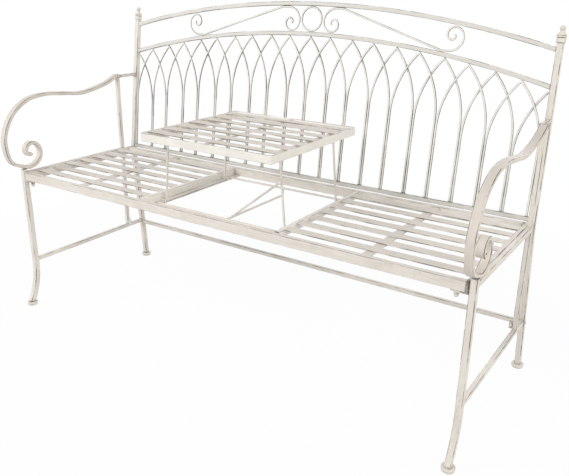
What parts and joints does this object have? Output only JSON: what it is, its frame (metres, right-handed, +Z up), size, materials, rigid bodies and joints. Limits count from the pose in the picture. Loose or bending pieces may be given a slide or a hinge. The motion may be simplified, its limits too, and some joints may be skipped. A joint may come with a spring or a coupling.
{
  "type": "garden bench with table",
  "caption": "Painted iron garden bench: interlaced arch back, scroll arms, two slatted seats and a slatted table between them that folds down flush as a middle seat.",
  "frame": {"origin": "on the ground, in the middle of the bench's box", "axes": "+X along the bench, to the right of a viewer in front of it, +Y towards the back, +Z up"},
  "size_m": [1.5068, 0.6046, 0.9776],
  "materials": {
    "cream_paint": "satin cream paint, rubbed through along edges"
  },
  "bodies": {
    "bench": {"arch_00": "cream_paint", "arch_01": "cream_paint", "arch_02": "cream_paint", "arch_03": "cream_paint", "arch_04": "cream_paint", "arch_05": "cream_paint", "arch_06": "cream_paint", "arch_07": "cream_paint", "arch_08": "cream_paint", "arch_09": "cream_paint", "arch_10": "cream_paint", "arch_11": "cream_paint", "arch_12": "cream_paint", "arch_13": "cream_paint", "arch_14": "cream_paint", "arch_15": "cream_paint", "arch_16": "cream_paint", "arch_17": "cream_paint", "arch_18": "cream_paint", "arch_19": "cream_paint", "arch_20": "cream_paint", "arch_rail": "cream_paint", "arm_left": "cream_paint", "arm_right": "cream_paint", "arm_upright_left": "cream_paint", "arm_upright_right": "cream_paint", "back_bottom_rail": "cream_paint", "back_ring": "cream_paint", "corner_bolt_left": "cream_paint", "corner_bolt_right": "cream_paint", "finial_left": "cream_paint", "finial_right": "cream_paint", "front_foot_left": "cream_paint", "front_foot_right": "cream_paint", "front_leg_left": "cream_paint", "front_leg_right": "cream_paint", "gap_rail_left": "cream_paint", "gap_rail_right": "cream_paint", "gap_tie_frame": "cream_paint", "rear_foot_left": "cream_paint", "rear_foot_right": "cream_paint", "rear_post_left": "cream_paint", "rear_post_right": "cream_paint", "rear_stretcher": "cream_paint", "scroll_left": "cream_paint", "scroll_right": "cream_paint", "seat_front_rail": "cream_paint", "seat_rear_rail": "cream_paint", "seat_slats_left": "cream_paint", "seat_slats_right": "cream_paint", "side_bar_left": "cream_paint", "side_bar_right": "cream_paint", "side_stretcher_left": "cream_paint", "side_stretcher_right": "cream_paint", "top_rail": "cream_paint"},
    "table": {"table_rim": "cream_paint", "table_slats": "cream_paint"},
    "left_legs": {"table_legs_left": "cream_paint"},
    "right_legs": {"table_legs_right": "cream_paint"},
    "stay": {"stay": "cream_paint"}
  },
  "joints": [
    {"name": "table_lower", "type": "slide", "parent": "bench", "child": "table", "axis": [0, 0, -1], "range_m": [0, 0.1896]},
    {"name": "left_legs_fold", "type": "hinge", "parent": "bench", "child": "left_legs", "pos_m": [-0.205, -0.01931, 0.4358], "axis": [0, 1, 0], "range_deg": [0, 84.75]},
    {"name": "right_legs_fold", "type": "hinge", "parent": "bench", "child": "right_legs", "pos_m": [0.205, -0.01931, 0.4358], "axis": [0, -1, 0], "range_deg": [0, 84.75]},
    {"name": "stay_swing", "type": "hinge", "parent": "right_legs", "child": "stay", "pos_m": [0.19366, -0.15866, 0.55878], "axis": [0, -1, 0], "range_deg": [0, 25]}
  ],
  "couplings": [
    {"joint": "left_legs_fold", "follows": "table_lower", "rad_per_m": 7.7998},
    {"joint": "right_legs_fold", "follows": "table_lower", "rad_per_m": 7.7998}
  ]
}
